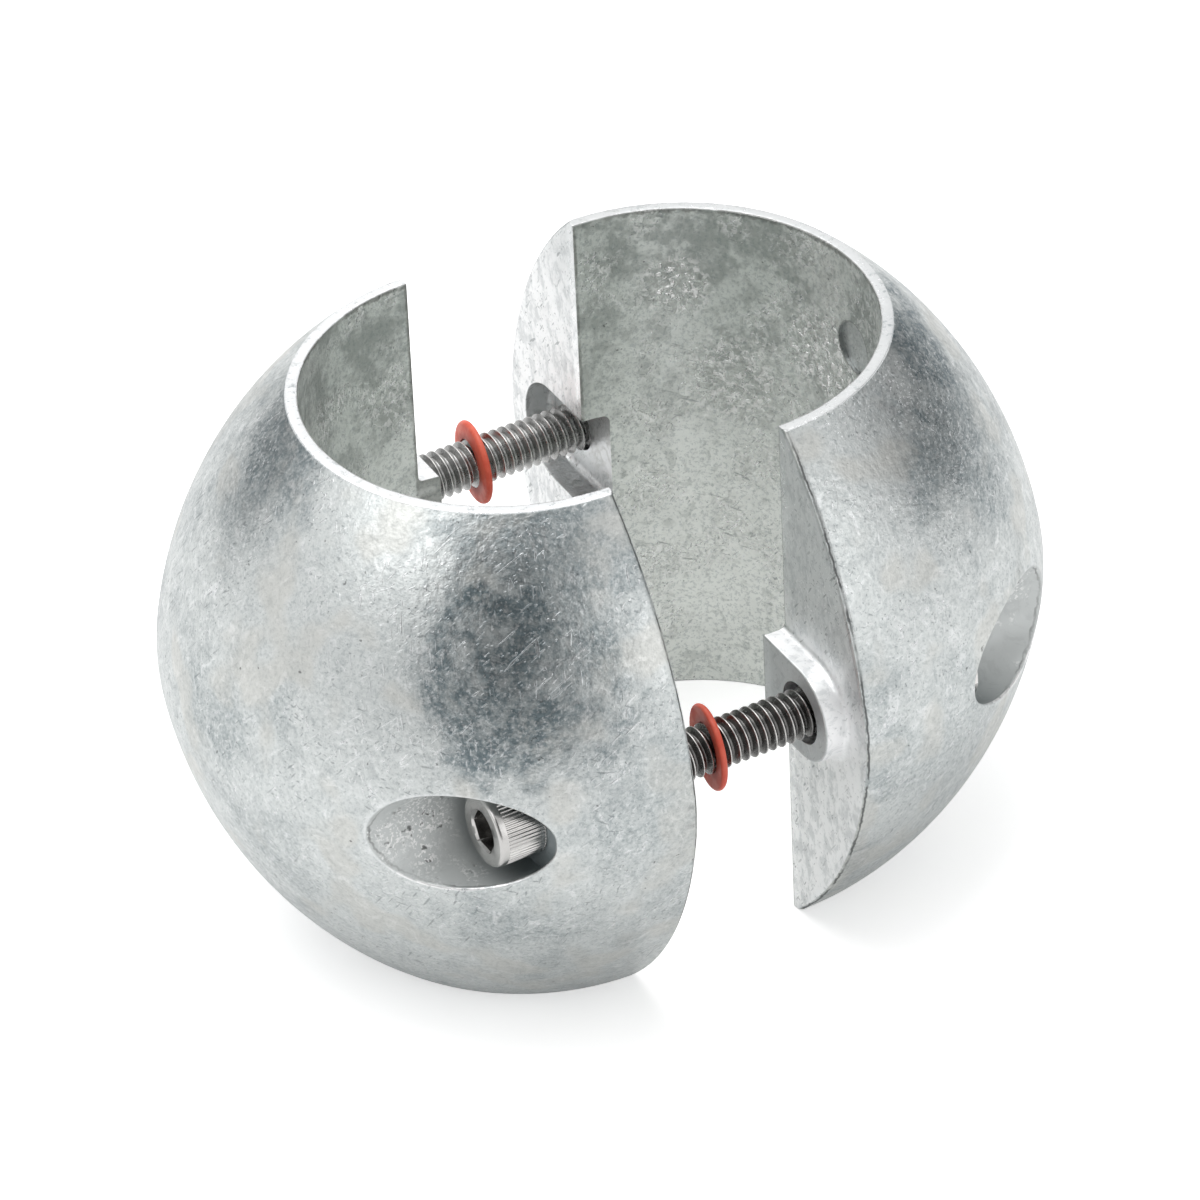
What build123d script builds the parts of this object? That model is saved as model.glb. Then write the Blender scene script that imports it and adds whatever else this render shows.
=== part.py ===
"""Split-ball zinc anode for a propeller shaft, with its two clamp screws.

Two identical zinc castings close round the shaft like a clamshell.  Each is
half a barrel with a full-round lug on one side of its parting face and the
seat for such a lug on the other, so a casting mates with a copy of itself
turned half a turn about the shaft.  A socket head screw goes in on the seat
side of each casting and crosses to a nut behind the other casting's lug.  A
soft washer pushed onto each thread keeps the screw from dropping out.  The
pair stands open, the way it is slipped over a shaft.

+Z is the shaft axis and +X runs along the screws.  The origin is on the
surface that the barrel stands on, midway between the parting faces.
"""
import os
from math import radians, tan

from build123d import *

# Barrel
shaft_d = 50.8           # bore, for a 2 inch shaft
barrel_d = 90.0          # over the equator, before it is rounded
barrel_h = 73.4          # along the shaft
land_w = 1.4             # flat rim between the bore and the flank
flank_r = 56.5           # each flank is an arc of this radius
equator_r = 24.0         # rounding where the two flanks meet
land_edge_r = 0.4        # outer edge of each rim
parting_edge_r = 0.7     # outer edge of each parting face
parting_gap = 23.5       # how far the halves stand open

# Lug and the seat that takes it
lug_r = 6.6              # full-round end, struck from the screw axis
lug_h = 3.0              # proud of the parting face
lug_draft = 3.0          # degrees, so the casting leaves its mould
lug_root_r = 0.8         # fillet where the lug grows out of the face
lug_rim_r = 0.3          # edge of the lug's face
lug_play = 0.35          # all round, between the lug and its seat
lug_floor_play = 0.8     # between the lug and the floor of its seat
seat_floor_r = 1.0       # fillet round the floor of the seat

# Screws, 1/4-20 socket head
screw_share = 3 / 7      # where each screw axis lies on the way from bore to equator
screw_d = 6.35
screw_l = 44.45          # under the head
head_d = 9.525
head_h = 6.35
head_chamfer = 0.6
socket_af = 4.76
socket_depth = 3.2
socket_point = 59.0      # degrees, half the drill point below the hexagon
tip_chamfer = 0.8

# Holes and pockets in each casting
screw_play = 0.4         # on the diameter, on the head side
lug_hole_d = 8.2         # cored through the lug
pocket_d = 13.7          # key pocket and nut pocket
head_wall = 17.3         # zinc between the parting face and the head
nut_wall = 13.6          # zinc between the parting face and the nut
pocket_rim_r = 0.4       # rounded mouth of each pocket

# Shallow round sinking for a size number, high on the bore wall
size_mark_d = 7.2
size_mark_depth = 0.4
size_mark_up = 23.6      # above mid height

# Nuts, 1/4-20 hexagon, pressed into a hexagon below the round pocket
nut_af = 11.1
nut_h = 5.56
nut_play = 0.15          # across flats
nut_proud = 1.9          # above the floor of the round pocket
nut_bore_d = 5.3         # minor diameter of its thread
nut_bevel = 30.0         # degrees, corners turned off on both faces
nut_land_gap = 0.3       # how far the bevel's circle lies inside the flats

# Retaining washers
washer_d = 11.0
washer_t = 0.9
washer_edge_r = 0.3
washer_slack = 0.04      # on the diameter, clear of the thread crests
front_washer_reach = 7.6   # from the parting face on its own screw's side
rear_washer_reach = 11.3

bore_r = shaft_d / 2
land_r = bore_r + land_w
equator_x = barrel_d / 2
mid_h = barrel_h / 2
screw_offset = bore_r + screw_share * (equator_x - bore_r)
seat_depth = lug_h + lug_floor_play
nut_floor = nut_wall + nut_h - nut_proud
beyond = equator_x + lug_h      # past the barrel in every direction
half_turn = Rot(0, 0, 180)

# The casting is drawn with its parting face on the YZ plane and its body
# towards +X: seat, close hole and key pocket at +Y, lug and nut pocket at -Y.
into_body = Plane(origin=(0, 0, mid_h), x_dir=(0, 1, 0), z_dir=(1, 0, 0))
out_of_face = Plane(origin=(0, 0, mid_h), x_dir=(0, 1, 0), z_dir=(-1, 0, 0))
seat_side = 1
lug_side = -1


def tongue(side, radius):
    """Outline shared by lug and seat: full round, run back into the bore."""
    inner = bore_r / 2
    with Locations((side * screw_offset, 0)):
        Circle(radius)
    with Locations((side * (screw_offset + inner) / 2, 0)):
        Rectangle(screw_offset - inner, 2 * radius)


def make_casting():
    """One zinc half."""
    with BuildPart() as casting:
        # Half barrel: bore, two rims and two arched flanks
        with BuildSketch(Plane.XZ) as section:
            with BuildLine():
                Polyline((land_r, 0), (bore_r, 0), (bore_r, barrel_h), (land_r, barrel_h))
                RadiusArc((land_r, barrel_h), (equator_x, mid_h), flank_r)
                RadiusArc((equator_x, mid_h), (land_r, 0), flank_r)
            make_face()
            corners = section.vertices().group_by(Axis.X)
            fillet(corners[-1], equator_r)
            fillet(corners[1], land_edge_r)
        revolve(axis=Axis.Z)
        split(bisect_by=Plane.YZ, keep=Keep.TOP)
        face_edges = casting.edges().filter_by_position(Axis.X, -0.001, 0.001)
        fillet([e for e in face_edges if abs(e.center().Y) > land_r], parting_edge_r)

        # Lug, trimmed back to the bore
        with BuildSketch(out_of_face):
            tongue(lug_side, lug_r)
        extrude(amount=lug_h, taper=lug_draft)
        Cylinder(bore_r, beyond * 4, mode=Mode.SUBTRACT)
        root = casting.edges().filter_by_position(Axis.X, -0.001, 0.001)
        root = root.filter_by_position(Axis.Z, mid_h - lug_r - 0.01, mid_h + lug_r + 0.01)
        root = root.filter_by_position(Axis.Y, -equator_x, -bore_r - 1)
        fillet([e for e in root if abs(e.center().Y) < screw_offset + lug_r + 0.1
                and e.geom_type != GeomType.BSPLINE], lug_root_r)
        rim = casting.edges().filter_by_position(Axis.X, -lug_h - 0.001, -lug_h + 0.001)
        fillet(rim.filter_by_position(Axis.Y, -equator_x, -bore_r - 1), lug_rim_r)

        # Seat for the other casting's lug
        with BuildSketch(into_body):
            tongue(seat_side, lug_r + lug_play)
        extrude(amount=seat_depth, taper=lug_draft, mode=Mode.SUBTRACT)
        floor = casting.edges().filter_by_position(Axis.X, seat_depth - 0.001, seat_depth + 0.001)
        fillet(floor.filter_by_position(Axis.Y, bore_r + 1, equator_x), seat_floor_r)

        # Key pocket with its close hole, nut pocket with the lug's wide hole
        for side, floor_x, hole_d in (
            (seat_side, head_wall, screw_d + screw_play),
            (lug_side, nut_floor, lug_hole_d),
        ):
            with BuildSketch(into_body.offset(floor_x)):
                with Locations((side * screw_offset, 0)):
                    Circle(pocket_d / 2)
            extrude(amount=beyond, mode=Mode.SUBTRACT)
            mouth = casting.edges(Select.NEW).filter_by(GeomType.LINE, reverse=True)
            fillet(mouth.filter_by(GeomType.CIRCLE, reverse=True), pocket_rim_r)
            with BuildSketch(into_body.offset(-lug_h)):
                with Locations((side * screw_offset, 0)):
                    Circle(hole_d / 2)
            extrude(amount=beyond, mode=Mode.SUBTRACT)
        with BuildSketch(into_body.offset(nut_wall)):
            with Locations((lug_side * screw_offset, 0)):
                RegularPolygon((nut_af + nut_play) / 2, 6, major_radius=False, rotation=30)
        extrude(amount=beyond, mode=Mode.SUBTRACT)

        # Size mark
        with BuildSketch(into_body.offset(bore_r - size_mark_depth)):
            with Locations((0, size_mark_up)):
                Circle(size_mark_d / 2)
        extrude(amount=2 * size_mark_depth, mode=Mode.SUBTRACT)
    return casting.part


def make_screw():
    """Socket head cap screw: under-head face at x=0, thread towards -X."""
    r = screw_d / 2
    head_r = head_d / 2
    with BuildPart() as screw:
        with BuildSketch(Plane.XZ):
            with BuildLine():
                Polyline(
                    (-screw_l, 0), (-screw_l, r - tip_chamfer), (-screw_l + tip_chamfer, r),
                    (0, r), (0, head_r), (head_h - head_chamfer, head_r),
                    (head_h, head_r - head_chamfer), (head_h, 0), (-screw_l, 0),
                )
            make_face()
        revolve(axis=Axis.X)
        with BuildSketch(Plane.YZ.offset(head_h)):
            RegularPolygon(socket_af / 2, 6, major_radius=False)
        extrude(amount=-socket_depth, mode=Mode.SUBTRACT)
        point_l = socket_af / 2 / tan(radians(socket_point))
        with Locations(Location((head_h - socket_depth - point_l / 2, 0, 0), (0, 90, 0))):
            Cone(0, socket_af / 2, point_l, mode=Mode.SUBTRACT)
    return screw.part


def make_nut():
    """Hexagon nut with both faces bevelled, its seat at x=0, body towards +X."""
    corner_r = nut_af / 3 ** 0.5
    flat_r = nut_af / 2 - nut_land_gap
    bevel_l = (corner_r - flat_r) * tan(radians(nut_bevel))
    with BuildPart() as nut:
        with BuildSketch(Plane.YZ):
            RegularPolygon(nut_af / 2, 6, major_radius=False, rotation=30)
            Circle(nut_bore_d / 2, mode=Mode.SUBTRACT)
        extrude(amount=nut_h)
        with BuildSketch(Plane.XZ):
            with BuildLine():
                Polyline(
                    (0, 0), (0, flat_r), (bevel_l, corner_r), (nut_h - bevel_l, corner_r),
                    (nut_h, flat_r), (nut_h, 0), (0, 0),
                )
            make_face()
        revolve(axis=Axis.X, mode=Mode.INTERSECT)
    return nut.part


def make_washer():
    """Flat retaining washer, centred on its thickness, axis along X."""
    hole_r = (screw_d + washer_slack) / 2
    rim_r = washer_d / 2
    with BuildPart() as washer:
        with BuildSketch(Plane.XZ) as section:
            with Locations((0, (hole_r + rim_r) / 2)):
                Rectangle(washer_t, rim_r - hole_r)
            fillet(section.vertices().group_by(Axis.Z)[-1], washer_edge_r)
        revolve(axis=Axis.X)
    return washer.part


# Everything is first placed as it sits in and behind the right-hand half, and
# the left-hand half's share is the same turned half a turn about the shaft.
face_x = parting_gap / 2
right = Pos(face_x, 0, 0)
on_seat_side = Pos(0, seat_side * screw_offset, mid_h)
on_lug_side = Pos(0, lug_side * screw_offset, mid_h)

casting = make_casting()
screw = make_screw()
nut = make_nut()
washer = make_washer()

right_half = right * casting
rear_screw = right * on_seat_side * Pos(head_wall, 0, 0) * screw
rear_washer = right * on_seat_side * Pos(-rear_washer_reach, 0, 0) * washer
front_nut = right * on_lug_side * Pos(nut_wall, 0, 0) * nut
front_washer = right * on_seat_side * Pos(-front_washer_reach, 0, 0) * washer

nodes = {
    "right_half": right_half,
    "left_half": half_turn * right_half,
    "rear_screw": rear_screw,
    "front_screw": half_turn * rear_screw,
    "front_nut": front_nut,
    "rear_nut": half_turn * front_nut,
    "rear_washer": rear_washer,
    "front_washer": half_turn * front_washer,
}

os.makedirs("parts", exist_ok=True)
for name, solid in nodes.items():
    export_step(solid, f"parts/{name}.step")
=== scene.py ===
from math import cos, pi, radians, sin, tan

import bmesh
import bpy
from mathutils import Euler, Matrix, Vector


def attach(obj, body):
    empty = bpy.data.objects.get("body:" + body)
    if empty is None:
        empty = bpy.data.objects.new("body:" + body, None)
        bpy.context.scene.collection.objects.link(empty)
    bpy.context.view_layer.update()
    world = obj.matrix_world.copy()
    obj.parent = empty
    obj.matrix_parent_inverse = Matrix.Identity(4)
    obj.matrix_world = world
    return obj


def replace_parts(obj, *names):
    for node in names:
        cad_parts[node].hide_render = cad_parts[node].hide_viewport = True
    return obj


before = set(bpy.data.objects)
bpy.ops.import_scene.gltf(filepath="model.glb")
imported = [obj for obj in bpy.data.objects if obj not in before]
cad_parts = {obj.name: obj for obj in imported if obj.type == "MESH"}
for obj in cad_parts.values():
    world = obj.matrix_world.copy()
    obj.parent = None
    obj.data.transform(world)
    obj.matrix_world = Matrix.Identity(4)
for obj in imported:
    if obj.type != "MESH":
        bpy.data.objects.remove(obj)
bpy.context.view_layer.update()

# The two zinc castings
# Each half is poured in a metal mould and tumbled clean: dull grey zinc with blue-grey tarnish,
# small strokes and pits all over, a greener bore, and worn rims with painted highlights and shade
# lines.
mm = 0.001
half_gap = 11.75         # parting face to the middle of the pair
bore_radius = 25.4
top_height = 73.4
mid_height = top_height / 2
screw_from_axis = 33.8
pocket_radius = 6.85
pocket_start = 12.5      # the pockets lie deeper than this below the parting face
land_width = 1.4
lug_height = 3.0
seat_half_height = 7.0
seat_depth = 3.8
size_mark_radius = 3.6
size_mark_height = 60.3
flank_radius = 56.5
flank_centre = (-11.27, -5.04)      # from the axis, and from mid height


def feed(tree, socket, value):
    """Link a socket to another, or write a plain value on it."""
    if isinstance(value, bpy.types.NodeSocket):
        tree.links.new(value, socket)
    else:
        socket.default_value = value


def add(tree, kind, inputs=(), **settings):
    """A new node with its settings and inputs."""
    made = tree.nodes.new("ShaderNode" + kind)
    for name, value in settings.items():
        setattr(made, name, value)
    for name, value in dict(inputs).items():
        feed(tree, made.inputs[name], value)
    return made


def calc(tree, operation, *values):
    made = add(tree, "Math", operation=operation)
    for socket, value in zip(made.inputs, values):
        feed(tree, socket, value)
    return made.outputs[0]


def times(tree, first, *others):
    """Product of two or more values."""
    for other in others:
        first = calc(tree, "MULTIPLY", first, other)
    return first


def plus(tree, first, second):
    return calc(tree, "ADD", first, second)


def minus(tree, first, second):
    return calc(tree, "SUBTRACT", first, second)


def rest(tree, value):
    """What is left of one."""
    return calc(tree, "SUBTRACT", 1.0, value)


def larger(tree, first, second):
    return calc(tree, "MAXIMUM", first, second)


def apart(tree, first, second):
    """Distance between two values."""
    return calc(tree, "ABSOLUTE", minus(tree, first, second))


def diagonal(tree, first, second):
    """Length of the hypotenuse."""
    squares = plus(tree, calc(tree, "POWER", first, 2.0), calc(tree, "POWER", second, 2.0))
    return calc(tree, "SQRT", squares)


def ease(tree, value, start, end, low=0.0, high=1.0):
    """Smooth step from low at start to high at end."""
    made = add(tree, "MapRange", {"Value": value, "From Min": start, "From Max": end,
                                  "To Min": low, "To Max": high},
               interpolation_type="SMOOTHSTEP")
    return made.outputs["Result"]


def tint(tree, amount, under, over):
    """One colour laid over another."""
    made = add(tree, "Mix", data_type="RGBA")
    for index, value in ((0, amount), (6, under), (7, over)):
        feed(tree, made.inputs[index], value)
    return made.outputs[2]


def mottle(tree, place, size, detail, roughness=0.55, distortion=0.0):
    """Noise whose patches are about `size` millimetres across."""
    made = add(tree, "TexNoise", {"Vector": place, "Scale": 1.0 / size, "Detail": detail,
                                  "Roughness": roughness, "Distortion": distortion})
    return made.outputs[0]


def vector(tree, operation, first, second):
    return add(tree, "VectorMath", {0: first, 1: second}, operation=operation).outputs[0]


def shift(tree, place, offset):
    return vector(tree, "ADD", place, offset)


def scaled(tree, place, factor):
    return add(tree, "VectorMath", {0: place, "Scale": factor}, operation="SCALE").outputs[0]


def measure(tree, operation, first, second):
    """A vector calculation that ends in one number."""
    made = add(tree, "VectorMath", {0: first, 1: second}, operation=operation)
    return made.outputs["Value"]


def about_screw(tree, side, height):
    """Distance from the nearer screw's axis."""
    sideways = minus(tree, calc(tree, "ABSOLUTE", side), screw_from_axis)
    return diagonal(tree, sideways, minus(tree, height, mid_height))


def open_material(name):
    """A material with its shader, and Object coordinates in millimetres."""
    material = bpy.data.materials.new(name)
    material.use_nodes = True
    tree = material.node_tree
    place = add(tree, "TexCoord").outputs["Object"]
    return material, tree, tree.nodes["Principled BSDF"], scaled(tree, place, 1000.0)


def carve(tree, shader, relief):
    """Bump from a relief in millimetres."""
    bump = add(tree, "Bump", {"Height": relief, "Distance": mm, "Strength": 1.0})
    feed(tree, shader.inputs["Normal"], bump.outputs[0])


# Strokes left by tumbling and handling: short thin lines in a few directions
strokes = bpy.data.node_groups.new("handling_strokes", "ShaderNodeTree")
strokes.interface.new_socket("Vector", in_out="INPUT", socket_type="NodeSocketVector")
for label in ("Width", "Length", "Cover"):
    strokes.interface.new_socket(label, in_out="INPUT", socket_type="NodeSocketFloat")
for label in ("Light", "Dark"):
    strokes.interface.new_socket(label, in_out="OUTPUT", socket_type="NodeSocketFloat")
ends = strokes.nodes.new("NodeGroupInput").outputs
out = strokes.nodes.new("NodeGroupOutput").inputs
along = calc(strokes, "DIVIDE", 0.5, ends["Length"])
across = calc(strokes, "DIVIDE", 0.5, ends["Width"])
pulled = add(strokes, "CombineXYZ", {"X": along, "Y": across, "Z": across}).outputs[0]
limit = minus(strokes, 0.90, times(strokes, ends["Cover"], 0.27))
for label, turns in (
    ("Light", ((0.3, 0.5, 0.2), (1.2, -0.4, 0.9), (-0.7, 1.1, 2.0))),
    ("Dark", ((0.9, 0.1, 1.4), (-1.5, 0.6, 0.3))),
):
    found = 0.0
    for turn in turns:
        turned = add(strokes, "CombineXYZ", {
            name: measure(strokes, "DOT_PRODUCT", ends["Vector"], row)
            for name, row in zip("XYZ", Euler(turn).to_matrix())}).outputs[0]
        drawn = vector(strokes, "MULTIPLY", turned, pulled)
        found = larger(strokes, found, mottle(strokes, drawn, 1.0, 0.0))
    found = ease(strokes, minus(strokes, found, limit), 0.0, 0.08)
    strokes.links.new(found, out[label])


def add_strokes(tree, place, width, length, cover):
    """Light and dark strokes of one size."""
    made = add(tree, "Group", node_tree=strokes)
    for label, value in (("Vector", place), ("Width", width), ("Length", length), ("Cover", cover)):
        feed(tree, made.inputs[label], value)
    return made.outputs["Light"], made.outputs["Dark"]


zinc, tree, shader, place = open_material("cast_zinc")
across, side, height = add(tree, "SeparateXYZ", {"Vector": place}).outputs
depth = minus(tree, calc(tree, "ABSOLUTE", across), half_gap)
reach = diagonal(tree, depth, side)
level = apart(tree, height, mid_height)
from_screw = about_screw(tree, side, height)
flank = calc(tree, "SQRT", minus(tree, flank_radius ** 2, calc(
    tree, "POWER", plus(tree, level, -flank_centre[1]), 2.0)))
below_skin = minus(tree, plus(tree, flank, flank_centre[0]), reach)
ragged = minus(tree, mottle(tree, place, 1.1, 2.0), 0.5)
wander = minus(tree, mottle(tree, place, 5.0, 2.0), 0.5)

# Masks: bore, parting face, rims, the two pockets, the seat, and the lug with its foot
in_bore = ease(tree, reach, bore_radius + 0.16, bore_radius + 0.04)
on_face = ease(tree, depth, 0.16, 0.06)
on_rim = ease(tree, level, mid_height - 0.14, mid_height - 0.03)
deep = ease(tree, depth, pocket_start, pocket_start + 0.7)
in_pocket = times(tree, deep, ease(tree, from_screw, pocket_radius + 0.1, pocket_radius + 0.02))
pocket_lip = ease(tree, plus(tree, from_screw, times(tree, ragged, 0.8)),
                  pocket_radius + 0.55, pocket_radius + 0.3, 0.0, 0.35)
pocket_lip = times(tree, deep, pocket_lip, rest(tree, in_pocket))
lug_side = ease(tree, times(tree, across, side), 40.0, -40.0)
on_lug = times(tree, lug_side, ease(tree, depth, -0.1, -0.6))
lug_face = times(tree, lug_side, ease(tree, depth, 0.25 - lug_height, 0.07 - lug_height))
lug_foot = times(tree, lug_side, on_face, ease(tree, from_screw, 9.4, 7.4))
in_seat = times(tree, ease(tree, level, seat_half_height + 0.4, seat_half_height + 0.1),
                ease(tree, below_skin, 0.4, 0.8),
                ease(tree, depth, seat_depth + 0.6, seat_depth + 0.2),
                rest(tree, lug_side))

# Colour: clouds of tarnish, which partly stand in as painted dark reflections of the studio's dark
# openings
bright_zinc = (0.63, 0.658, 0.652, 1)
tarnish_and_shade_zinc = (0.17, 0.213, 0.23, 1)
smeared_zinc = (0.40, 0.43, 0.44, 1)
pale_zinc_and_highlight = (0.90, 0.91, 0.92, 1)
warm_zinc = (0.62, 0.60, 0.55, 1)
seat_painted_light = (0.85, 0.865, 0.87, 1)
warp = add(tree, "TexNoise", {"Vector": place, "Scale": 0.11, "Detail": 2.0, "Roughness": 0.8})
push = vector(tree, "SUBTRACT", warp.outputs["Color"], (0.5, 0.5, 0.5))
drifted = shift(tree, place, scaled(tree, push, 28.0))
# Listed spots: partly tarnish, partly painted dark reflections on the flanks
dark = 0.0
for centre, size, strength in (
    ((-21, -28, 70), 11, 0.62), ((-28, -31, 62), 8, 1.0), ((-24, -35, 62), 7, 0.65),
    ((-32, -34, 54), 9, 0.92), ((-27, -38, 53), 7.5, 0.64), ((-39, 7, 70), 10, 0.70),
    ((35, -26, 62), 12, 0.60), ((37, -16, 71), 10, 0.95), ((27, -41, 30), 12, 0.22),
    ((-15, -43, 40), 13, 0.30), ((20, 36, 60), 11, 0.7), ((-30, 36, 24), 13, 0.6),
):
    away = measure(tree, "DISTANCE", drifted, centre)
    dark = larger(tree, dark, ease(tree, away, size * 1.3, size * 0.45, 0.0, strength))
clouds = mottle(tree, place, 17.0, 3.0, 0.66)
dark = larger(tree, dark, ease(tree, clouds, 0.45, 0.68, 0.0, 0.40))
speckle = mottle(tree, shift(tree, place, (31, 7, 2)), 1.3, 2.0, 0.75)
dark = times(tree, dark, ease(tree, speckle, 0.3, 0.62, 0.55, 1.12))
colour = tint(tree, dark, bright_zinc, tarnish_and_shade_zinc)
smear = mottle(tree, shift(tree, place, (3, 90, 14)), 3.2, 4.0, 0.66, 2.2)
colour = tint(tree, ease(tree, smear, 0.50, 0.68, 0.0, 0.34), colour, smeared_zinc)
colour = tint(tree, ease(tree, smear, 0.47, 0.30, 0.0, 0.42), colour, pale_zinc_and_highlight)
grit = mottle(tree, shift(tree, place, (2, 17, 51)), 0.5, 2.0, 0.75)
# Fine grit, stronger in the darker areas, where its light and dark specks are partly painted glints
grit_and_glints = plus(tree, 0.22, times(tree, dark, 0.45))
colour = tint(tree, times(tree, grit_and_glints, ease(tree, grit, 0.5, 0.64)), colour, tarnish_and_shade_zinc)
colour = tint(tree, times(tree, grit_and_glints, ease(tree, grit, 0.46, 0.32, 0.0, 0.65)), colour, pale_zinc_and_highlight)
patchy = mottle(tree, shift(tree, place, (0, 50, 0)), 8.0, 1.0)
warmth = times(tree, ease(tree, patchy, 0.47, 0.34, 0.0, 0.36), rest(tree, dark))
colour = tint(tree, warmth, colour, warm_zinc)
# Painted reflection: the seat recess is painted pale where it mirrors bright light
colour = tint(tree, times(tree, in_seat, ease(tree, smear, 0.62, 0.48, 0.3, 0.9)), colour, seat_painted_light)

# The bore is greener, stained in its upper part, paler below and folded in a few places, with painted
# glints and painted shade on the folds
bore_zinc = (0.72, 0.755, 0.725, 1)
pale_bore = (0.93, 0.95, 0.915, 1)
bore_stain = (0.42, 0.45, 0.43, 1)
bore_fold_shade = (0.30, 0.31, 0.29, 1)
bore_glint = (1.0, 1.0, 0.99, 1)
bore_low = ease(tree, height, 66.0, 20.0)
bore_clouds = ease(tree, mottle(tree, shift(tree, place, (3, 3, 60)), 9.0, 4.0, 0.78), 0.42, 0.60)
bore_clouds = times(tree, bore_clouds, rest(tree, times(tree, bore_low, 0.4)))
bore_colour = tint(tree, bore_clouds, bore_zinc, bore_stain)
bore_colour = tint(tree, times(tree, bore_low, 0.75), bore_colour, pale_bore)
bore_colour = tint(tree, ease(tree, smear, 0.52, 0.64, 0.0, 0.40), bore_colour, bore_stain)
bore_grit = times(tree, ease(tree, grit, 0.50, 0.62), 0.30)
bore_colour = tint(tree, bore_grit, bore_colour, tarnish_and_shade_zinc)
bubbly_and_glinting = ease(tree, patchy, 0.48, 0.62, 0.0, 0.45)
# Listed spots where the folds carry painted glints
for centre, size, strength in (
    ((24, 22, 62), 6, 1.0), ((36.3, 6, 56), 9, 1.0), ((30, 18, 48), 9, 0.75),
):
    away = measure(tree, "DISTANCE", place, centre)
    bubbly_and_glinting = larger(tree, bubbly_and_glinting, ease(tree, away, size, size * 0.4, 0.0, strength))
crinkle = mottle(tree, shift(tree, place, (9, 9, 9)), 0.95, 2.0, 0.6)
bubble = times(tree, ease(tree, crinkle, 0.48, 0.64), in_bore, bubbly_and_glinting)
# Painted shade in the folds' troughs and painted glints on their crests
fold_shade = times(tree, bubbly_and_glinting, ease(tree, crinkle, 0.48, 0.40, 0.0, 0.5))
glints = times(tree, bubbly_and_glinting, ease(tree, crinkle, 0.50, 0.57, 0.0, 0.9))
bore_colour = tint(tree, fold_shade, bore_colour, bore_fold_shade)
bore_colour = tint(tree, glints, bore_colour, bore_glint)
colour = tint(tree, in_bore, colour, bore_colour)

# The parting faces are smoother, with painted light that makes them paler below and on the rear half,
# and the lug carries a painted highlight, brightest of all
face_zinc = (0.70, 0.72, 0.72, 1)
pale_face_light = (0.95, 0.96, 0.96, 1)
lug_highlight_zinc = (0.97, 0.975, 0.98, 1)
lug_face_zinc = (0.50, 0.525, 0.53, 1)
drawn = vector(tree, "MULTIPLY", place, (1.0, 0.8, 0.45))
streaks = ease(tree, mottle(tree, drawn, 1.4, 3.0, 0.78), 0.44, 0.62, 0.0, 0.40)
# Painted light: paler towards the bottom and on the rear half
face_painted_light = ease(tree, minus(tree, height, times(tree, side, 0.4)), 64.0, 44.0)
face_colour = tint(tree, streaks, tint(tree, face_painted_light, face_zinc, pale_face_light), smeared_zinc)
# Painted highlight on the lug and, less, on its foot
lug_highlight = larger(tree, on_lug, times(tree, lug_foot, 0.45))
face_colour = tint(tree, lug_highlight, face_colour, lug_highlight_zinc)
lug_smear = times(tree, on_lug, ease(tree, smear, 0.47, 0.66, 0.0, 0.3))
face_colour = tint(tree, lug_smear, face_colour, smeared_zinc)
face_colour = tint(tree, times(tree, lug_face, 0.8), face_colour, lug_face_zinc)
colour = tint(tree, times(tree, on_face, rest(tree, in_bore)), colour, face_colour)

# The pockets are clean, with painted shade darkening them towards their floor, and crust and a few
# specks
pocket_zinc = (0.60, 0.625, 0.62, 1)
pocket_smear = (0.46, 0.48, 0.48, 1)
pocket_crust = (0.95, 0.955, 0.95, 1)
soot_and_shade = (0.05, 0.05, 0.05, 1)
pocket_colour = tint(tree, ease(tree, smear, 0.5, 0.62, 0.0, 0.3), pocket_zinc, pocket_smear)
crust_spot = ease(tree, measure(tree, "DISTANCE", drifted, (-41, -28, 33)), 9.0, 2.0)
crusted = larger(tree, ease(tree, wander, 0.04, 0.14, 0.0, 0.7), crust_spot)
flecks = times(tree, ease(tree, grit, 0.52, 0.60, 0.0, 0.95), crusted)
pocket_colour = tint(tree, flecks, pocket_colour, pocket_crust)
specks = times(tree, ease(tree, speckle, 0.62, 0.68, 0.0, 0.8), crusted)
pocket_colour = tint(tree, specks, pocket_colour, soot_and_shade)
# Painted shade deeper in the pockets
pocket_colour = tint(tree, ease(tree, depth, 26.0, 17.5, 0.0, 0.75), pocket_colour, tarnish_and_shade_zinc)
colour = tint(tree, in_pocket, colour, pocket_colour)

# Strokes, gathered in some places and nearly absent in others, and small pits
dark_stroke = (0.16, 0.18, 0.19, 1)
light_marks, dark_marks = add_strokes(tree, place, 0.17, 1.9, 0.66)
light_coarse, _ = add_strokes(tree, shift(tree, place, (13, 21, 5)), 0.26, 5.0, 0.32)
worked = larger(tree, ease(tree, patchy, 0.42, 0.58, 0.15, 1.0), times(tree, on_face, 0.6))
worked = times(tree, worked, rest(tree, larger(tree, in_pocket, times(tree, on_lug, 0.5))))
light_strokes = times(tree, larger(tree, light_marks, light_coarse), worked)
dark_strokes = times(tree, dark_marks, worked)
colour = tint(tree, times(tree, light_strokes, 0.40), colour, pale_zinc_and_highlight)
colour = tint(tree, times(tree, dark_strokes, 0.5), colour, dark_stroke)
colour = tint(tree, ease(tree, speckle, 0.71, 0.75, 0.0, 0.6), colour, soot_and_shade)

# Rims and pocket mouths: worn bright and painted with a highlight, brighter on the left half; a
# painted shade line just inside each mouth and a painted highlight on its lower lip
dimmer_rim_highlight = (0.72, 0.73, 0.735, 1)
lip_glint = (0.98, 0.98, 0.98, 1)
nicked = times(tree, ease(tree, crinkle, 0.56, 0.68), 0.6)
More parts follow.
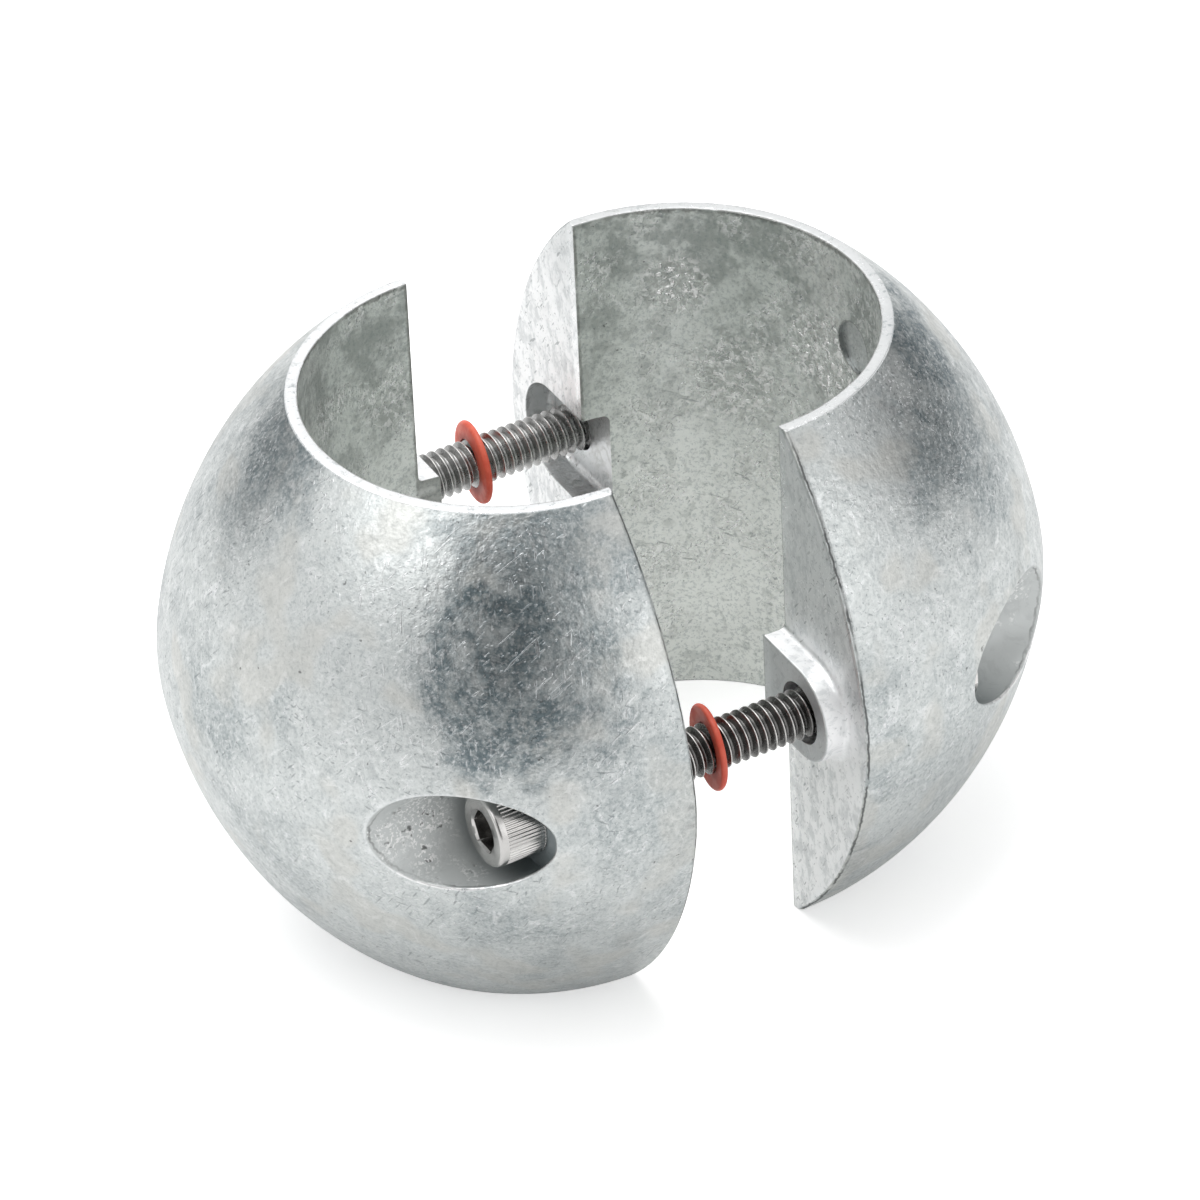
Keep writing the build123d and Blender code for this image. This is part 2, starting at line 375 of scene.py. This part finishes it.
# Painted highlight on the rims and pocket lips, partly wear, brighter on the left half than the right
rim = times(tree, larger(tree, on_rim, pocket_lip), rest(tree, nicked), 0.85)
colour = tint(tree, rim, colour, tint(tree, ease(tree, across, -6.0, 6.0), pale_zinc_and_highlight, dimmer_rim_highlight))
# Painted shade: a dark ragged line just inside each pocket mouth
mouth = apart(tree, plus(tree, below_skin, times(tree, ragged, 0.9)), 0.45)
mouth = times(tree, ease(tree, mouth, 0.20, 0.06), in_pocket,
              ease(tree, wander, -0.12, 0.1, 0.15, 0.55))
colour = tint(tree, mouth, colour, soot_and_shade)
# Painted highlight along the lower lip of each pocket
lower_lip_highlight = times(tree, ease(tree, height, mid_height - 4.0, mid_height - 6.2),
                  ease(tree, apart(tree, from_screw, pocket_radius + 0.14), 0.26, 0.12),
                  deep, ease(tree, ragged, -0.12, 0.06), rest(tree, in_pocket))
colour = tint(tree, lower_lip_highlight, colour, lip_glint)

# Dark lines: painted shade round the size mark's groove and a painted shadow along the parting face
# where the flash was; a darker line at the bore's edges
flash_shadow = (0.09, 0.095, 0.095, 1)
bore_edge_dark = (0.12, 0.12, 0.11, 1)
# Painted shade round the size mark's groove
mark_groove_shade = diagonal(tree, side, minus(tree, height, size_mark_height))
mark_groove_shade = ease(tree, apart(tree, mark_groove_shade, size_mark_radius), 0.30, 0.08)
in_mark = times(tree, ease(tree, depth, 20.0, 22.0),
                ease(tree, reach, bore_radius + 0.7, bore_radius + 0.5))
colour = tint(tree, times(tree, in_mark, mark_groove_shade, 0.45), colour, soot_and_shade)
outside = ease(tree, reach, bore_radius + 1.2, bore_radius + 2.0)
# Painted shadow along the edge of the parting face
flash_shadow_line = apart(tree, plus(tree, depth, times(tree, plus(tree, wander, ragged), 0.35)), 0.34)
flash_shadow_line = times(tree, ease(tree, flash_shadow_line, 0.15, 0.06), outside,
              ease(tree, wander, -0.12, 0.02, 0.25, 1.0), ease(tree, from_screw, 8.5, 9.5))
colour = tint(tree, times(tree, flash_shadow_line, 0.85), colour, flash_shadow)
# Darker line along the bore's edges
bore_side = ease(tree, plus(tree, depth, times(tree, ragged, 0.5)), 0.5, 0.2)
bore_top = ease(tree, plus(tree, height, times(tree, ragged, 1.6)), top_height - 0.8, top_height - 0.3)
bore_edge = times(tree, larger(tree, bore_side, bore_top), in_bore,
                  ease(tree, wander, -0.15, 0.0, 0.3, 1.0), 0.6)
colour = tint(tree, bore_edge, colour, bore_edge_dark)
feed(tree, shader.inputs["Base Color"], colour)

# Strokes, rims and faces are shinier, the lug and the skin near the parting face duller
shine = ease(tree, smear, 0.3, 0.7, 0.30, 0.44)
shine = minus(tree, shine, times(tree, in_bore, bubbly_and_glinting, 0.06))
shine = minus(tree, shine, times(tree, light_strokes, 0.08))
shine = minus(tree, shine, times(tree, larger(tree, on_rim, on_face), 0.05))
shine = plus(tree, shine, times(tree, on_lug, 0.08))
shine = plus(tree, shine, times(tree, ease(tree, depth, 1.0, 0.3), outside, 0.15))
feed(tree, shader.inputs["Roughness"], shine)
bloom = larger(tree, times(tree, in_bore, 0.4), in_pocket)
feed(tree, shader.inputs["Metallic"], ease(tree, bloom, 0.0, 1.0, 0.9, 0.25))

# Relief in millimetres: slow waves, crinkles, light strokes, bubbles in the bore, rounded rims
calm = larger(tree, in_pocket, times(tree, on_face, 0.75))
from_land = calc(tree, "DIVIDE", minus(tree, reach, bore_radius + land_width / 2), land_width / 2)
relief = times(tree, patchy, 0.12)
relief = plus(tree, relief, times(tree, crinkle, rest(tree, calm), 0.09))
relief = plus(tree, relief, times(tree, light_marks, worked, 0.026))
relief = plus(tree, relief, times(tree, bubble, 0.17))
relief = minus(tree, relief, times(tree, calc(tree, "POWER", from_land, 2.0), on_rim, 0.10))
carve(tree, shader, relief)

for name in ("right_half", "left_half"):
    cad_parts[name].material_slots[0].material = zinc


# The two clamp screws
# Stainless socket head cap screws, threaded to the head. The thread is rolled, the head is
# knurled with straight ridges, and the hexagon socket has a drilled point at its foot.
screw_length = 44.45
pitch = 1.27
crest_radius = 3.175
root_radius = 2.46
tip_chamfer = 0.8
run_into_head = 0.6      # how far the thread's shell reaches into the head's
head_height = 6.35
head_radius = 4.76
head_edge = 0.45         # rounding of the head's outer edge
edge_steps = 4
foot_edge = 0.25
plain_band = 0.75        # between the ridges and the rounding
ridges = 60
ridge_depth = 0.13
socket_flats = 4.76
socket_depth = 3.2
socket_bevel = 0.28
screw_seat = 29.05       # under the head, from the middle of the pair
turn_steps = 48
bright_steel = (0.70, 0.69, 0.675, 1)
filmed_steel = (0.61, 0.60, 0.585, 1)
front_thread_shade = (0.12, 0.118, 0.115, 1)
rear_thread_shade = (0.34, 0.34, 0.335, 1)
scratch_bright = (0.8, 0.79, 0.77, 1)
scratch_dark = (0.12, 0.118, 0.115, 1)
socket_shade = (0.10, 0.095, 0.09, 1)


def extrude(bm, ring):
    """Extrude a ring of edges: the new ring and its points."""
    made = bmesh.ops.extrude_edge_only(bm, edges=ring)["geom"]
    points = {g for g in made if isinstance(g, bmesh.types.BMVert)}
    new_ring = [g for g in made if isinstance(g, bmesh.types.BMEdge)
                and g.verts[0] in points and g.verts[1] in points]
    return new_ring, points


def grow(bm, ring, x, factor=1.0):
    """Extrude a ring to a new height along X and scale it about the axis."""
    ring, points = extrude(bm, ring)
    for point in points:
        point.co.x = x
    bmesh.ops.scale(bm, vec=(1, factor, factor), verts=list(points))
    return ring


def off_axis(point):
    """Where a point lies round the X axis."""
    return Vector((point.co.y, point.co.z))


def set_spread(point, wanted):
    """Move a point straight out from the X axis or back to it."""
    factor = wanted / off_axis(point).length
    point.co.y *= factor
    point.co.z *= factor


def ring_of(bm, radius, count, x):
    """A ring of edges round the X axis."""
    turn = Matrix.Translation((x, 0, 0)) @ Matrix.Rotation(pi / 2, 4, "Y")
    points = bmesh.ops.create_circle(bm, segments=count, radius=radius, matrix=turn)["verts"]
    return list({edge for point in points for edge in point.link_edges})


def add_thread(bm, start, end, root, crest):
    """A right-handed rolled thread from start to end along X, closed at both ends."""
    outline = ((0.0, root), (0.11, root + 0.03), (0.38, crest - 0.12), (0.44, crest - 0.02),
               (0.50, crest), (0.56, crest - 0.02), (0.62, crest - 0.12), (0.89, root + 0.03),
               (1.0, root))
    lead_in = 1.03       # turns, of which the part before the start is cut off again
    points = [bm.verts.new((start + (part - lead_in) * pitch, 0, radius)) for part, radius in outline]
    edges = [bm.edges.new(pair) for pair in zip(points, points[1:])]
    bmesh.ops.spin(bm, geom=points + edges, cent=(0, 0, 0), axis=(1, 0, 0),
                   dvec=(pitch / turn_steps, 0, 0), angle=2 * pi, steps=turn_steps)
    one_turn = bm.verts[:] + bm.edges[:] + bm.faces[:]
    for turn in range(1, int((end - start) / pitch) + 2):
        copy = bmesh.ops.duplicate(bm, geom=one_turn)["geom"]
        bmesh.ops.translate(bm, vec=(turn * pitch, 0, 0),
                            verts=[g for g in copy if isinstance(g, bmesh.types.BMVert)])
    bmesh.ops.remove_doubles(bm, verts=bm.verts, dist=0.002)
    for x, outwards in ((start, -1), (end, 1)):
        cut = bmesh.ops.bisect_plane(bm, geom=bm.verts[:] + bm.edges[:] + bm.faces[:],
                                     plane_co=(x, 0, 0), plane_no=(outwards, 0, 0), clear_outer=True)
        rim = [g for g in cut["geom_cut"] if isinstance(g, bmesh.types.BMEdge)]
        bmesh.ops.holes_fill(bm, edges=rim, sides=0)


def finish_piece(name, bm, moves, material, smooth_angle):
    """Turn a bmesh in millimetres into a placed, shaded piece."""
    bmesh.ops.remove_doubles(bm, verts=bm.verts, dist=0.0005)
    bmesh.ops.transform(bm, matrix=Matrix.Scale(mm, 4) @ moves, verts=bm.verts)
    bmesh.ops.recalc_face_normals(bm, faces=bm.faces)
    mesh = bpy.data.meshes.new(name)
    bm.to_mesh(mesh)
    bm.free()
    mesh.shade_smooth()
    mesh.set_sharp_from_angle(angle=radians(smooth_angle))
    piece = bpy.data.objects.new(name, mesh)
    bpy.context.scene.collection.objects.link(piece)
    mesh.materials.append(material)
    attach(piece, "root")
    return piece


steel, tree, shader, place = open_material("screw_steel")
across, side, height = add(tree, "SeparateXYZ", {"Vector": place}).outputs
radius = about_screw(tree, side, height)
along = calc(tree, "ABSOLUTE", across)
in_thread = ease(tree, along, screw_seat + 0.1, screw_seat - 0.1)
# Painted shade on the thread's flanks and roots, darker on the front screw than on the rear
thread_valley_shade = times(tree, in_thread, ease(tree, radius, crest_radius + 0.005, crest_radius - 0.07), 0.95)
film = ease(tree, mottle(tree, place, 1.1, 3.0, 0.65), 0.3, 0.7)
film = times(tree, film, ease(tree, in_thread, 0.0, 1.0, 0.35, 1.0))
colour = tint(tree, film, bright_steel, filmed_steel)
thread_shade = tint(tree, ease(tree, side, -8.0, 8.0), front_thread_shade, rear_thread_shade)
colour = tint(tree, thread_valley_shade, colour, thread_shade)
light_marks, dark_marks = add_strokes(tree, place, 0.08, 0.9, 0.5)
scratched = ease(tree, in_thread, 0.0, 1.0, 0.25, 1.0)
colour = tint(tree, times(tree, scratched, light_marks, 0.4), colour, scratch_bright)
colour = tint(tree, times(tree, scratched, dark_marks, 0.25), colour, scratch_dark)
colour = tint(tree, ease(tree, in_thread, 1.0, 0.0, 0.0, 0.16), colour, scratch_dark)
head_end = screw_seat + head_height
# Painted shade inside the hexagon socket
in_socket = times(tree, ease(tree, radius, socket_flats / 2 + 0.25, socket_flats / 2 - 0.05),
                  ease(tree, along, head_end - 0.25, head_end - 0.9), rest(tree, in_thread))
colour = tint(tree, times(tree, in_socket, 0.85), colour, socket_shade)
feed(tree, shader.inputs["Base Color"], colour)
feed(tree, shader.inputs["Roughness"], ease(tree, film, 0.0, 1.0, 0.24, 0.32))
shader.inputs["Metallic"].default_value = 1.0
relief = times(tree, mottle(tree, place, 0.3, 3.0), 0.005)
carve(tree, shader, minus(tree, relief, times(tree, dark_marks, 0.006)))


def make_screw(name, moves):
    """Thread from the tip at negative X up to the head, which is a shell of its own."""
    bm = bmesh.new()
    add_thread(bm, -screw_length, run_into_head, root_radius, crest_radius)
    for point in bm.verts:
        allowed = crest_radius - tip_chamfer + max(point.co.x + screw_length, 0.0)
        if off_axis(point).length > allowed:
            set_spread(point, allowed)

    # The foot and the ridges: every second pair of points is lowered
    count = 4 * ridges
    inner, outer = 0.9, 0.975       # rings of the foot, as shares of the head's radius
    foot = ring_of(bm, head_radius * inner, count, 0.0)
    ring = grow(bm, foot, 0.0, outer / inner)
    ring = grow(bm, ring, foot_edge, 1 / outer)
    ring = grow(bm, ring, foot_edge + 0.05)
    valleys = [v for v in {v for e in ring for v in e.verts}
               if round(off_axis(v).angle_signed(Vector((1, 0))) * count / 2 / pi) % 4 < 2]
    lowered = 1 - ridge_depth / head_radius
    bmesh.ops.scale(bm, vec=(1, lowered, lowered), verts=valleys)
    ridges_end = head_height - head_edge - plain_band
    ring = grow(bm, ring, ridges_end)
    ring = grow(bm, ring, ridges_end + 0.06)
    valleys = [v for v in {v for e in ring for v in e.verts}
               if off_axis(v).length < head_radius - 0.05]
    bmesh.ops.scale(bm, vec=(1, 1 / lowered, 1 / lowered), verts=valleys)

    # The plain band, the rounded edge and the face with its socket
    ring = grow(bm, ring, head_height - head_edge)
    before = head_radius
    for step in range(1, edge_steps + 1):
        swing = step / edge_steps * pi / 2
        now = head_radius - head_edge * (1 - cos(swing))
        ring = grow(bm, ring, head_height - head_edge + head_edge * sin(swing), now / before)
        before = now
    corner = socket_flats / 2 / cos(pi / 6)
    lip = ring_of(bm, corner * 1.04, count, head_height)
    bmesh.ops.bridge_loops(bm, edges=ring + lip)
    hexagon = ring_of(bm, corner, 6, head_height - socket_bevel)
    cut = bmesh.ops.subdivide_edges(bm, edges=hexagon, cuts=count // 6 - 1)
    hexagon = [g for g in cut["geom_split"] if isinstance(g, bmesh.types.BMEdge)]
    bmesh.ops.bridge_loops(bm, edges=lip + hexagon)
    floor = grow(bm, hexagon, head_height - socket_depth)
    drill_point = grow(bm, floor, head_height - socket_depth - corner * 0.5, 0.02)
    bmesh.ops.holes_fill(bm, edges=drill_point, sides=0)
    bmesh.ops.holes_fill(bm, edges=foot, sides=0)
    return finish_piece(name, bm, moves, steel, 32)


half_turn = Matrix.Rotation(pi, 4, "Z")
rear_place = Matrix.Translation((screw_seat, screw_from_axis, mid_height))
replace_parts(make_screw("rear_clamp_screw", rear_place), "rear_screw")
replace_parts(make_screw("front_clamp_screw", half_turn @ rear_place), "front_screw")


# The two retaining washers
# Thin discs of soft red plastic, a little dished, pushed over the thread so that it bites
# into the hole and the screw can't drop out of its casting.
washer_radius = 5.5
washer_hole = 3.14
hole_bevel = 0.12
washer_thickness = 0.9
washer_dish = 0.22
rim_steps = 12
front_washer_at = 7.6 - half_gap      # along X, from the middle of the pair
rear_washer_at = half_gap - 11.3
front_askew, rear_askew = -8, -6      # degrees about the upright
clean_red = (0.83, 0.145, 0.083, 1)
deep_red = (0.74, 0.10, 0.055, 1)
chalky_red = (0.80, 0.30, 0.23, 1)
shaded_red = (0.40, 0.05, 0.03, 1)
near_hole_red = (0.40, 0.06, 0.04, 1)
scored_red = (0.35, 0.03, 0.02, 1)

red, tree, shader, place = open_material("red_washer_plastic")
across, side, height = add(tree, "SeparateXYZ", {"Vector": place}).outputs
radius = about_screw(tree, side, height)
patches = ease(tree, mottle(tree, place, 2.4, 3.0), 0.35, 0.65)
colour = tint(tree, patches, clean_red, deep_red)
chalk = ease(tree, mottle(tree, shift(tree, place, (4, 4, 4)), 0.5, 4.0, 0.7), 0.58, 0.75, 0.0, 0.35)
colour = tint(tree, chalk, colour, chalky_red)
colour = tint(tree, ease(tree, side, 8.0, -8.0, 0.0, 0.34), colour, shaded_red)
# Darker towards the hole
colour = tint(tree, ease(tree, radius, 4.6, 3.3, 0.0, 0.7), colour, near_hole_red)
_, dark_marks = add_strokes(tree, place, 0.12, 1.0, 0.4)
colour = tint(tree, times(tree, dark_marks, 0.3), colour, scored_red)
feed(tree, shader.inputs["Base Color"], colour)
feed(tree, shader.inputs["Roughness"], ease(tree, patches, 0.0, 1.0, 0.42, 0.55))
carve(tree, shader, times(tree, mottle(tree, place, 0.6, 3.0), 0.03))


def make_washer(name, at, offset, towards, askew):
    """Rounded outline spun round the screw, then dished towards one side and set askew."""
    bm = bmesh.new()
    half = washer_thickness / 2
    halfway = (washer_radius + washer_hole) / 2
    outline = []
    for step in range(rim_steps + 1):
        swing = -pi / 2 + pi * step / rim_steps
        outline.append((half * sin(swing), washer_radius - half + half * cos(swing)))
    outline += [(half, halfway), (half, washer_hole + hole_bevel), (hole_bevel, washer_hole),
                (-hole_bevel, washer_hole), (-half, washer_hole + hole_bevel), (-half, halfway)]
    points = [bm.verts.new((x, 0, radius)) for x, radius in outline]
    edges = [bm.edges.new(pair) for pair in zip(points, points[1:] + points[:1])]
    bmesh.ops.spin(bm, geom=points + edges, cent=(0, 0, 0), axis=(1, 0, 0), angle=2 * pi,
                   steps=2 * turn_steps, use_merge=True)
    for point in bm.verts:
        out = (off_axis(point).length - washer_hole) / (washer_radius - washer_hole)
        point.co.x += towards * washer_dish * (1 - out * out)
    moves = Matrix.Translation((at, offset, mid_height)) @ Matrix.Rotation(radians(askew), 4, "Z")
    return finish_piece(name, bm, moves, red, 50)


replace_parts(make_washer("front_red_washer", front_washer_at, -screw_from_axis, 1, front_askew),
            "front_washer")
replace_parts(make_washer("rear_red_washer", rear_washer_at, screw_from_axis, -1, rear_askew),
            "rear_washer")


# The two nuts
# Stainless hexagon nuts with both faces bevelled, pressed into the hexagon at the foot of
# the nut pockets, waiting for the screws to be run in.
nut_flats = 11.1
nut_height = 5.56
nut_seat = 25.35         # seat of the nut, from the middle of the pair
nut_face_radius = 5.25
nut_minor_radius = 2.65
nut_bevel = 30           # degrees, corners turned off on both faces
mouth_radius = 3.45      # where the thread's countersink meets a face
mouth_depth = 0.45
face_middle = 4.4        # a ring halfway across each face
last_turn_gap = 0.4      # between the last turn and the far face
bore_end_gap = 0.35

nut_steel = steel.copy()
nut_steel.name = "nut_steel"


def make_nut(name, moves):
    """One ring of edges led round the section: bore with its thread, faces, bevels, flats."""
    bm = bmesh.new()
    x = mouth_depth
    ring = ring_of(bm, nut_minor_radius, 2 * turn_steps, x)
    now = nut_minor_radius
    while x + pitch < nut_height - last_turn_gap:
        for step, radius in ((0.4, crest_radius), (0.55, crest_radius),
                             (0.95, nut_minor_radius), (1.0, nut_minor_radius)):
            ring = grow(bm, ring, x + step * pitch, radius / now)
            now = radius
        x += pitch
    ring = grow(bm, ring, nut_height - bore_end_gap)
    for radius in (mouth_radius, face_middle, nut_face_radius):
        ring = grow(bm, ring, nut_height, radius / now)
        now = radius

    # Out onto the hexagon at the height of the upper bevel, down to the lower one, back in
    ring, points = extrude(bm, ring)
    for point in points:
        turned = (off_axis(point).angle_signed(Vector((0, 1))) + pi / 6) % (pi / 3) - pi / 6
        flat = nut_flats / 2 / cos(turned)
        set_spread(point, flat)
        point.co.x = nut_height - (flat - nut_face_radius) * tan(radians(nut_bevel))
    ring, points = extrude(bm, ring)
    for point in points:
        point.co.x = nut_height - point.co.x
    ring, points = extrude(bm, ring)
    for point in points:
        set_spread(point, nut_face_radius)
        point.co.x = 0.0
    ring = grow(bm, ring, 0.0, mouth_radius / nut_face_radius)
    grow(bm, ring, mouth_depth, nut_minor_radius / mouth_radius)
    return finish_piece(name, bm, moves, nut_steel, 28)


front_nut_place = Matrix.Translation((nut_seat, -screw_from_axis, mid_height))
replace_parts(make_nut("front_hexagon_nut", front_nut_place), "front_nut")
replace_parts(make_nut("rear_hexagon_nut", half_turn @ front_nut_place), "rear_nut")


# Floor
# A plain pale sheet that runs out of sight. The camera and shiny metal see it lifted to
# white, and it keeps the soft shadow of the pair.
floor_reach = 4.0        # metres from the middle to each edge
floor_level = -0.0001
floor_mesh = bpy.data.meshes.new("floor")
bm = bmesh.new()
bmesh.ops.create_grid(bm, x_segments=1, y_segments=1, size=floor_reach,
                      matrix=Matrix.Translation((0, 0, floor_level)))
bm.to_mesh(floor_mesh)
bm.free()
floor = bpy.data.objects.new("floor", floor_mesh)
bpy.context.scene.collection.objects.link(floor)
pale = bpy.data.materials.new("pale_floor")
pale.use_nodes = True
tree = pale.node_tree
shader = tree.nodes["Principled BSDF"]
shader.inputs["Base Color"].default_value = (0.88, 0.88, 0.88, 1)
shader.inputs["Roughness"].default_value = 0.9
shader.inputs["Specular IOR Level"].default_value = 0.0
shader.inputs["Emission Color"].default_value = (1, 1, 1, 1)
seen = add(tree, "LightPath").outputs
feed(tree, shader.inputs["Emission Strength"], plus(
    tree, times(tree, seen["Is Camera Ray"], 0.46), times(tree, seen["Is Glossy Ray"], 0.08)))
floor_mesh.materials.append(pale)


# Studio
# White tent, dimmer behind the camera, with dark openings and one bright panel as seen in
# the metal, and two large soft lamps.
world = bpy.data.worlds.new("white_tent")
bpy.context.scene.world = world
world.use_nodes = True
tree = world.node_tree
background = tree.nodes["Background"]
way = add(tree, "TexCoord").outputs["Generated"]
way = add(tree, "VectorMath", {0: way}, operation="NORMALIZE").outputs[0]
behind = measure(tree, "DOT_PRODUCT", way, (-0.375, -0.713, 0.592))
tent = ease(tree, behind, 0.75, -0.35, 0.76, 1.14)
for aim, wide, brightness in (
    ((-0.40, -0.64, 0.62), 26, 0.10), ((-0.56, -0.76, 0.28), 22, 0.25),
    ((-0.24, -0.56, 0.80), 20, 0.35), ((-0.15, -0.94, 0.22), 24, 0.45),
    ((0.97, 0.13, 0.09), 34, 0.12), ((0.88, -0.30, 0.36), 20, 0.35),
    ((-0.38, 0.90, 0.14), 30, 0.25), ((-0.64, -0.04, 0.77), 27, 2.4),
):
    near = measure(tree, "DOT_PRODUCT", way, Vector(aim).normalized())
    tent = times(tree, tent, ease(
        tree, near, cos(radians(wide)), cos(radians(wide * 0.3)), 1.0, brightness))
feed(tree, background.inputs["Color"], (1, 1, 1, 1))
feed(tree, background.inputs["Strength"], larger(
    tree, tent, add(tree, "LightPath").outputs["Is Camera Ray"]))

lamp_aim = (0, 0, 0.03)
for name, spot, size, power in (
    ("top_softbox", (-0.10, 0.15, 0.95), 0.75, 4.0),
    ("front_right_softbox", (0.30, -0.85, 0.38), 0.65, 0.9),
):
    lamp = bpy.data.lights.new(name, "AREA")
    lamp.size = size
    lamp.energy = power
    holder = bpy.data.objects.new(name, lamp)
    holder.visible_camera = False
    holder.location = spot
    holder.rotation_euler = (Vector(lamp_aim) - Vector(spot)).to_track_quat("-Z", "Y").to_euler()
    bpy.context.scene.collection.objects.link(holder)


# Camera
# A long lens from the left front, looking down on the pair as in the photograph.
camera = bpy.data.cameras.new("camera")
camera.sensor_width = 36.0
camera.lens = 270.0
viewer = bpy.data.objects.new("camera", camera)
viewer.location = (-0.41932, -0.79724, 0.69825)
down, around, roll = 36.315, -27.729, -2.712
viewer.rotation_euler = (
    Matrix.Rotation(radians(around), 4, "Z")
    @ Matrix.Rotation(radians(90 - down), 4, "X")
    @ Matrix.Rotation(radians(roll), 4, "Z")
).to_euler()
bpy.context.scene.collection.objects.link(viewer)
bpy.context.scene.camera = viewer
bpy.context.scene.view_settings.view_transform = "Standard"
